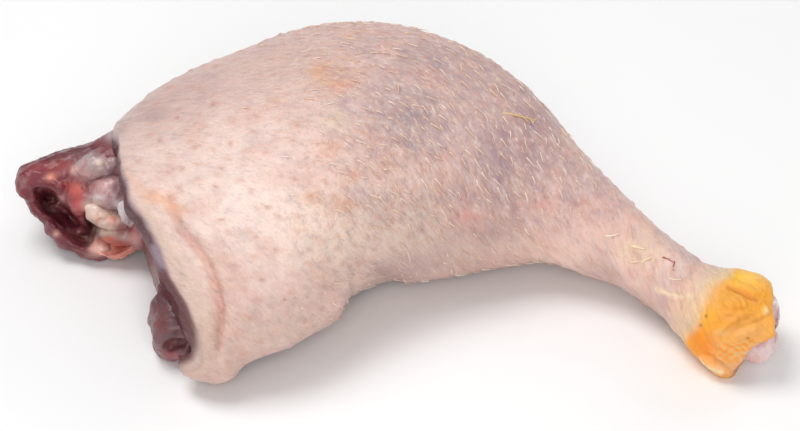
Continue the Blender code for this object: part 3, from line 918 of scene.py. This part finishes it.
def make_quills(points, outward, follicles):
    """Feather stubs lying on the skin, each rooted in its follicle."""
    stubs = [(points[i], outward[i], lie, long, STUB_RADIUS, None) for i, lie, long in follicles if long]
    spots = seen(points)
    facing = outward @ TO_CAMERA
    rng = random.Random(9)
    for (x0, y0), (x1, y1), thick, code in LONG_QUILLS + SCRATCH:
        ends = []
        for x, y in ((x0, y0), (x1, y1)):
            off = np.hypot(spots[:, 0] - x, spots[:, 1] - y) + np.where(facing > 0.1, 0, 1e6)
            ends.append(int(np.argmin(off)))
        run = points[ends[1]] - points[ends[0]]
        length = np.linalg.norm(run)
        stubs.append((points[ends[0]], outward[ends[0]], run / length, length, thick, code))

    template = bmesh.new()
    bmesh.ops.create_cone(template, cap_ends=True, segments=5, radius1=1.0, radius2=0.5, depth=1.0)
    long_edges = [e for e in template.edges if abs(e.verts[0].co.z - e.verts[1].co.z) > 0.5]
    bmesh.ops.subdivide_edges(template, edges=long_edges, cuts=3)
    shape = np.array([v.co[:] for v in template.verts])
    quill = bpy.data.meshes.new("quill_pattern")
    template.to_mesh(quill)
    template.free()
    bm = bmesh.new()
    for _stub in stubs:
        bm.from_mesh(quill)
    placed = []
    tints = []
    for root, up, lie, length, thick, code in stubs:
        flat_lie = lie - up * (lie @ up)
        flat_lie /= np.linalg.norm(flat_lie)
        side = np.cross(up, flat_lie)
        share = shape[:, 2] + 0.5
        arch = 0.08 + 0.22 * np.sin(share * 2.6) * min(length / 3, 1.4)
        sway = rng.uniform(-0.35, 0.35) * length * share**2
        radius = thick * rng.uniform(0.8, 1.3)
        body = (
            root
            + flat_lie * (share * length)[:, None]
            + up * (arch - 0.15 + shape[:, 1] * radius)[:, None]
            + side * (sway + shape[:, 0] * radius)[:, None]
        )
        placed.append(body)
        drawn = rng.choice(STUB_COLOURS)
        tints.append(np.tile(np.array(linear(code or drawn)[:3]), (len(shape), 1)))
    set_points(bm, np.concatenate(placed))
    obj = finish_piece("feather_stubs", bm, quill_material(), None)
    add_colour(obj, "tint", np.concatenate(tints))
    bpy.data.meshes.remove(quill)


# Flesh

LUMP_DETAIL = 4
MEAT_VOXEL = 0.6  # millimetres, as the next
TISSUE_VOXEL = 0.4
MEAT_RINGS = 90
MEAT_SIDES = 120
MEAT_START = 8.0  # how far in from the hip the thigh's muscle begins


def lumps_bmesh(lumps, detail):
    """Stretched, tilted, uneven spheres in one bmesh. Positions are the CAD's, before its shift."""
    bm = bmesh.new()
    for centre, radii, tilt, rough, seed in lumps:
        made = bmesh.ops.create_icosphere(bm, subdivisions=detail, radius=1)
        turn = Euler([math.radians(t) for t in tilt]).to_matrix()
        for vertex in made["verts"]:
            unit = vertex.co.copy()
            uneven = 1 + rough * noise.noise(unit * 1.6 + Vector((seed, 0, 0)))
            place = turn @ Vector(u * r * uneven for u, r in zip(unit, radii))
            place += Vector(centre) + Vector(SHIFT)
            place.z = max(place.z, OFF_TABLE)
            vertex.co = place * MM
    return bm


def melt_together(obj, voxel):
    """Remeshes overlapping lumps into one skinless lump of flesh, and applies it."""
    melted = obj.modifiers.new("melt", "REMESH")
    melted.mode = "VOXEL"
    melted.voxel_size = voxel * MM
    melted.use_smooth_shade = True
    softened = obj.modifiers.new("soften", "SMOOTH")
    softened.factor = 0.5
    softened.iterations = 4
    graph = bpy.context.evaluated_depsgraph_get()
    mesh = bpy.data.meshes.new_from_object(obj.evaluated_get(graph))
    obj.modifiers.clear()
    old = obj.data
    mesh.materials.clear()
    for material in old.materials:
        mesh.materials.append(material)
    obj.data = mesh
    mesh.name = obj.name
    bpy.data.meshes.remove(old)


def roughen(obj, layers, strokes=()):
    """Presses lines into a piece and moves its points along their normals by layers of noise.

    Each layer is (height, size, seed, stretch).
    """
    mesh = obj.data
    count = len(mesh.vertices)
    points = np.empty(count * 3)
    mesh.vertices.foreach_get("co", points)
    points = points.reshape(-1, 3) / MM
    direction = np.empty(count * 3)
    mesh.vertex_normals.foreach_get("vector", direction)
    direction = direction.reshape(-1, 3)
    height = np.zeros(count)
    for tall, size, seed, stretch in layers:
        height += tall * cloud(points * np.array(stretch), size, seed)
    points = press(points + direction * height[:, None], direction, strokes)
    points[:, 2] = np.maximum(points[:, 2], OFF_TABLE)
    mesh.vertices.foreach_set("co", (points * MM).ravel())
    mesh.update()
    return points


# The flesh at the hip, as in the CAD: centre, radii, tilt, unevenness, seed.
HIP_MEAT = (
    ((-83, 15, 12.5), (23, 15, 14), (0, 0, 8), 0.16, 1),
    ((-73, 8, 17), (14, 13, 16), (0, 0, 10), 0.14, 2),
    ((-93, 8, 22.7), (20.2, 9.5, 6.4), (0, -9, 8), 0.12, 3),
    ((-80, 9, 29.6), (9, 9, 5.6), (0, -20, 0), 0.16, 26),
    ((-95, 11.5, 11.5), (10.5, 6.5, 11.5), (0, 12, 0), 0.2, 12),
    ((-93.4, -0.2, 7.5), (10.0, 5.8, 6.4), (0, 24, 0), 0.15, 27),
    ((-103.2, 5.7, 13.6), (4.4, 4.6, 9.4), (0, -32, 0), 0.12, 28),
    ((-88.5, -3.0, 5.5), (7, 4.5, 5), (0, 20, 0), 0.2, 29),
    ((-90.7, 0.6, 19), (4.6, 5, 6.6), (0, 20, 0), 0.2, 4),
    ((-95.8, 2.4, 17), (3, 3.5, 4), (0, 10, 0), 0.2, 5),
    ((-98, 2.6, 24.5), (2.6, 2.6, 2.2), (0, 0, 0), 0.1, 6),
    ((-80.4, -4.6, 11.5), (7.2, 5, 3.8), (0, 18, 0), 0.15, 7),
    ((-73.8, -6.6, 12), (4.6, 5, 5), (0, 0, 0), 0.15, 8),
)
CUT_MUSCLE = (
    ((-59, -42.5, 9.0), (10, 10.5, 9.2), (0, 0, -12), 0.2, 9),
    ((-60, -39, 14.0), (8, 8, 6), (0, 0, 0), 0.3, 19),
    ((-61, -45, 4.5), (7, 6, 4.4), (0, 0, 0), 0.3, 20),
)
# Hollows pressed into the flesh: line and half width in the photograph's pixels, depth in millimetres.
HIP_STROKES = (
    (((46, 199), (56, 212), (69, 226), (84, 237)), 10, 6.5),
    (((38, 191), (46, 200)), 5, 4.0),
    (((50, 196), (62, 210), (72, 222)), 5, 3.0),
    (((66, 186), (62, 200)), 3, 1.5),
    (((88, 214), (94, 230)), 5, 4.0),
    (((40, 172), (60, 182), (70, 180)), 2.5, 1.2),
    (((75, 158), (70, 176)), 3, 1.5),
    (((62, 150), (84, 153), (104, 144)), 2.5, 1.0),
    (((30, 172), (52, 168), (68, 160)), 2, 0.8),
)
CUT_STROKES = (
    (((170, 345), (180, 343)), 7, 4.0),
    (((160, 283), (172, 300)), 3, 1.5),
    (((155, 338), (170, 338), (182, 332)), 2.5, 1.2),
)
# Colours at the cut end, shared by every tissue there so that neighbours bleed into each other. Some are
# painted shade in hollows and gaps, and one is a painted highlight.
FLESH_PATCHES = (
    (24, 168, 10, 9, "#72101C", 0.9), (45, 160, 20, 7, "#3E0E17", 0.9), (78, 149, 20, 7, "#5F343C", 0.9),
    (98, 136, 14, 7, "#7E5A62", 0.9), (110, 133, 6, 9, "#B9A5A6", 0.8), (104, 150, 8, 6, "#7C3F48", 0.8),
    (60, 166, 16, 6, "#9E4A4A", 0.8), (38, 166, 10, 6, "#98434A", 0.7), (51, 177, 5, 3.5, "#F0A487", 0.95),
    # (75, 170) on the next line is a painted highlight on a wet lump.
    (59, 185, 12, 5, "#7A1E26", 0.85), (75, 170, 5, 5, "#E0B4AA", 0.85), (88, 162, 10, 6, "#B9A6A5", 0.8),
    (86, 175, 8, 5, "#C59A95", 0.75), (100, 163, 4, 4, "#E9D5C0", 0.85), (109, 170, 6, 8, "#A5898B", 0.7),
    (76, 190, 8, 7, "#D3685E", 0.9), (79, 206, 8, 9, "#C44E48", 0.9), (104, 186, 9, 8, "#D8AEAC", 0.85),
    (98, 197, 7, 3, "#DCCCCB", 0.8), (92, 188, 4, 8, "#AD8585", 0.7), (113, 193, 5, 7, "#A98086", 0.7),
    (91, 206, 9, 6, "#E2CFC2", 0.9), (102, 217, 8, 6, "#D9B3A4", 0.8), (113, 219, 6, 5, "#DA9481", 0.85),
    (118, 205, 5, 7, "#DCD2D6", 0.85), (128, 218, 5, 8, "#A58890", 0.75), (121, 228, 7, 5, "#9C5E60", 0.75),
    (104, 232, 10, 5, "#C2AB98", 0.9), (121, 238, 10, 4.5, "#B5A39A", 0.9),
    (136, 238, 9, 10, "#BF8A86", 0.85), (93, 243, 4, 8, "#EDB5A8", 0.9), (100, 249, 9, 6, "#F8C6B8", 0.97),
    (109, 240, 8, 3.5, "#C55A38", 0.9), (119, 245, 8, 4, "#B8432F", 0.8), (90, 228, 5, 7, "#2C0D10", 0.9),
    # The darkest patches on the next two lines are painted shade in the hollow under the overhanging tip,
    # laid over muscle that is dark maroon itself.
    (45, 200, 12, 12, "#38060D", 0.97), (64, 220, 16, 11, "#4C121D", 0.9),
    (82, 236, 10, 7, "#430E14", 0.85), (30, 205, 6, 14, "#6B2834", 0.85), (44, 228, 9, 8, "#70313C", 0.8),
    (56, 234, 3, 3, "#DCA592", 0.8), (72, 247, 14, 6, "#5F2630", 0.85), (61, 199, 4, 6, "#BC8580", 0.75),
    (160, 300, 10, 12, "#5F3D45", 0.9), (168, 325, 12, 14, "#643A3D", 0.9),
    # (176, 344) on the next line is a dark red hollow with painted shade in it, and (175, 315) on the line
    # after is painted shade in the gap behind the rim.
    (160, 340, 8, 6, "#7C5A60", 0.7), (176, 344, 8, 5, "#5A1E24", 0.9), (168, 356, 12, 6, "#96545A", 0.85),
    (178, 360, 7, 4, "#A86A68", 0.7), (175, 315, 5, 20, "#4B2A31", 0.7),
)


def paint_flesh(obj, points, base, patches):
    """One colour with patches laid over it, as the photograph shows them."""
    tint = np.tile(np.array(linear(base)[:3]), (len(points), 1))
    spots = seen(points)
    for x, y, wide, high, code, strength in patches:
        tint = mix(tint, code, strength * near_spot(spots, x, y, wide, high))
    add_colour(obj, "tint", tint)


def meat_inset(along, angle):
    """How deep the muscle lies: under the skin, sunk behind the near rim and sagging where it is bare."""
    a = np.mod(angle, 360)
    crevice = bump(a, 200, 40) * (1 - smoothstep(8, 34, along))
    covered = skin_thickness(np.clip(along, 0, LENGTH)) + MEAT_GAP
    inside_window = smoothstep(8, 22, window(along) - np.abs(a - 270))
    return (covered + 3.0 * crevice) * (1 - inside_window) - MEAT_SAG * inside_window


def make_meat(flesh):
    """The muscle inside the skin: seen at the hip and over the bare underside."""
    columns, rows = MEAT_RINGS, MEAT_SIDES + 1
    bm, column, row = grid(columns, rows)
    share = column / (columns - 1)
    angle = 270 + 360 * row / (rows - 1)
    cap = 0.1  # share of the rings that closes each end
    shrink = np.where(share < cap, share / cap, np.where(share > 1 - cap, (1 - share) / cap, 1.0))
    shrink = np.sin(np.clip(shrink, 0, 1) * math.pi / 2)
    body = np.clip((share - cap) / (1 - 2 * cap), 0, 1)
    along = MEAT_START + (LENGTH - MEAT_STOPS - MEAT_START) * body
    dome = 4.0 * np.sqrt(np.clip(1 - shrink**2, 0, 1))
    along = along + np.where(share < cap, -dome, np.where(share > 1 - cap, dome, 0))
    points = leg_point(along, angle, meat_inset(along, angle), shrink)
    points[:, 2] = np.maximum(points[:, 2], 0)
    set_points(bm, points)
    bmesh.ops.remove_doubles(bm, verts=bm.verts, dist=1e-5)
    bmesh.ops.recalc_face_normals(bm, faces=bm.faces)
    obj = finish_piece("thigh_muscle", bm, flesh, "meat")
    points = roughen(obj, ((0.6, 9, 31, (0.4, 1, 1)), (0.35, 2.5, 32, (0.35, 1, 1))))
    paint_flesh(obj, points, "#7A3A3E", FLESH_PATCHES)

    for name, lumps, base, strokes in (
        ("hip_muscle", HIP_MEAT, "#7B3B42", HIP_STROKES),
        ("cut_muscle", CUT_MUSCLE, "#7A5557", CUT_STROKES),
    ):
        obj = finish_piece(name, lumps_bmesh(lumps, LUMP_DETAIL), flesh, None)
        melt_together(obj, MEAT_VOXEL)
        roughen(obj, ((0.9, 6, 33, (0.6, 1, 1)),), strokes)
        melt_together(obj, MEAT_VOXEL)
        points = roughen(obj, ((0.5, 2.6, 34, (0.5, 1, 1)), (0.25, 1.2, 35, (1, 1, 1))))
        paint_flesh(obj, points, base, FLESH_PATCHES)


TISSUES = (
    # name, node, slot, lumps, base colour, patches, grain in mm, wetness
    (
        "hip_knuckle_cap", "hip_knuckle", "cartilage",
        (((-83, 0.4, 21.8), (6.4, 5.6, 5.8), (0, 0, 0), 0.12, 11),
         ((-80, 0.6, 24.4), (3.4, 4.0, 3.0), (0, 0, 0), 0.2, 21),
         ((-86, 0.4, 20.0), (2.8, 3.4, 3.0), (0, 0, 0), 0.2, 22)),
        "#B08A8C", (), 3.0, 0.9,
    ),
    (
        "joint_capsule_cap", "joint_capsule", "capsule",
        (((-86, 3.4, 29.2), (7.0, 4.6, 3.8), (0, -12, 0), 0.15, 12),
         ((-82, 3.0, 30.4), (3.0, 3.4, 2.6), (0, 0, 0), 0.2, 23)),
        "#A88A8C", (), 3.0, 0.8,
    ),
    (
        "fat_lobe_cap", "fat_lobe", "fat",
        (((-83.6, -4.4, 15.6), (7.4, 3.8, 2.9), (0, 33, 0), 0.12, 13),
         ((-86.6, -4.2, 17.6), (3.2, 3.2, 2.8), (0, 0, 0), 0.25, 24)),
        "#DDBFB0", (), 4.0, 0.7,
    ),
    (
        "sinew_strand", "sinew", "sinew",
        (((-77.4, -5.2, 17.4), (2.4, 2.8, 5.2), (0, -30, 0), 0.1, 14),
         ((-78.4, -5.0, 19.4), (1.7, 2.0, 2.2), (0, -30, 0), 0.2, 25)),
        "#DCD5D9", (), 2.0, 0.9,
    ),
    (
        "torn_membrane_flap", "torn_membrane", "membrane",
        (),
        "#D58573", (), 3.0, 0.8,
    ),
    (
        "shank_joint", "shank_bone", "bone",
        (),
        "#DDBDB8",
        ((779, 297, 6, 5, "#B39BA8", 0.9), (775, 302, 3, 3, "#FBF4F0", 0.95),
         (779, 306, 3, 3, "#F6E9E6", 0.95), (775, 316, 3, 4, "#E6C6CC", 0.8),
         (780, 313, 3, 4, "#8A2E3C", 0.95), (778, 320, 3, 3, "#93384A", 0.9),
         (775, 327, 4, 3, "#75202E", 0.95), (777, 334, 6, 4, "#B294A4", 0.85),
         (770, 342, 6, 6, "#E7C9CC", 0.8), (768, 350, 12, 8, "#EBD3D2", 0.8),
         (758, 346, 5, 4, "#C98F96", 0.7), (752, 363, 8, 8, "#D5A2A2", 0.8)),
        3.5, 0.6,
    ),
)


TISSUE_RELIEF = ((0.7, 4.0, 41, (1, 1, 1)), (0.35, 1.8, 42, (1, 1, 1)), (0.12, 0.9, 43, (1, 1, 1)))


def make_tissues():
    """The small tissues at the hip and the bone end, of uneven lumps or remeshed from the CAD's own."""
    for name, replaced, slot, lumps, base, patches, grain_mm, wet in TISSUES:
        material = tissue_material("raw " + slot, grain_mm, wet, 0.2, 0.35, rough=0.3)
        if lumps:
            bm = lumps_bmesh(lumps, LUMP_DETAIL)
        else:
            bm = bmesh.new()
            bm.from_mesh(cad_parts[replaced].data)
            bmesh.ops.remove_doubles(bm, verts=bm.verts, dist=1e-6)
        obj = finish_piece(name, bm, material, replaced)
        melt_together(obj, TISSUE_VOXEL)
        points = roughen(obj, TISSUE_RELIEF)
        paint_flesh(obj, points, base, FLESH_PATCHES + patches)


# Table, light and camera


def make_stage():
    """A pale table and three soft lights, with a white surround."""
    bm = bmesh.new()
    bmesh.ops.create_grid(bm, x_segments=1, y_segments=1, size=2.5)
    mesh = bpy.data.meshes.new("table")
    bm.to_mesh(mesh)
    bm.free()
    table = add_object("table", mesh)
    mesh.materials.append(laminate_material())

    world = bpy.data.worlds.new("studio")
    bpy.context.scene.world = world
    world.use_nodes = True
    world.node_tree.nodes["Background"].inputs["Color"].default_value = (1, 1, 1, 1)
    world.node_tree.nodes["Background"].inputs["Strength"].default_value = 0.4
    # Place and size in metres, power in watts.
    for name, place, size, power in (
        ("key_light", (-0.3, 0.05, 0.85), 0.45, 4.3),
        ("front_light", (0.05, -0.9, 0.6), 0.6, 4.5),
        ("rim_light", (0.6, 0.5, 0.5), 0.5, 1.2),
    ):
        light = bpy.data.lights.new(name, "AREA")
        light.energy = power
        light.size = size
        obj = add_object(name, light)
        obj.location = place
        obj.rotation_mode = "QUATERNION"
        obj.rotation_quaternion = Vector(place).to_track_quat("Z", "Y")


def make_camera():
    """Stands where the photograph's camera stood."""
    bpy.context.scene.view_settings.view_transform = "Standard"
    camera = bpy.data.cameras.new("camera")
    camera.lens = CAMERA_LENS
    camera.sensor_width = CAMERA_SENSOR
    camera.clip_start = 0.01
    obj = add_object("camera", camera)
    back = Vector(TO_CAMERA)
    obj.location = (Vector(CAMERA_TARGET) + back * CAMERA_DISTANCE) * MM
    obj.rotation_mode = "QUATERNION"
    obj.rotation_quaternion = (-back).to_track_quat("-Z", "Y")
    bpy.context.scene.camera = obj


make_camera()
make_stage()
make_quills(*make_skin())
make_meat(tissue_material("raw duck muscle", 4.0, 0.25, 0.1, 0.3, fibre=(0.5, 1.0, 1.0)))
make_tissues()

bpy.context.view_layer.update()
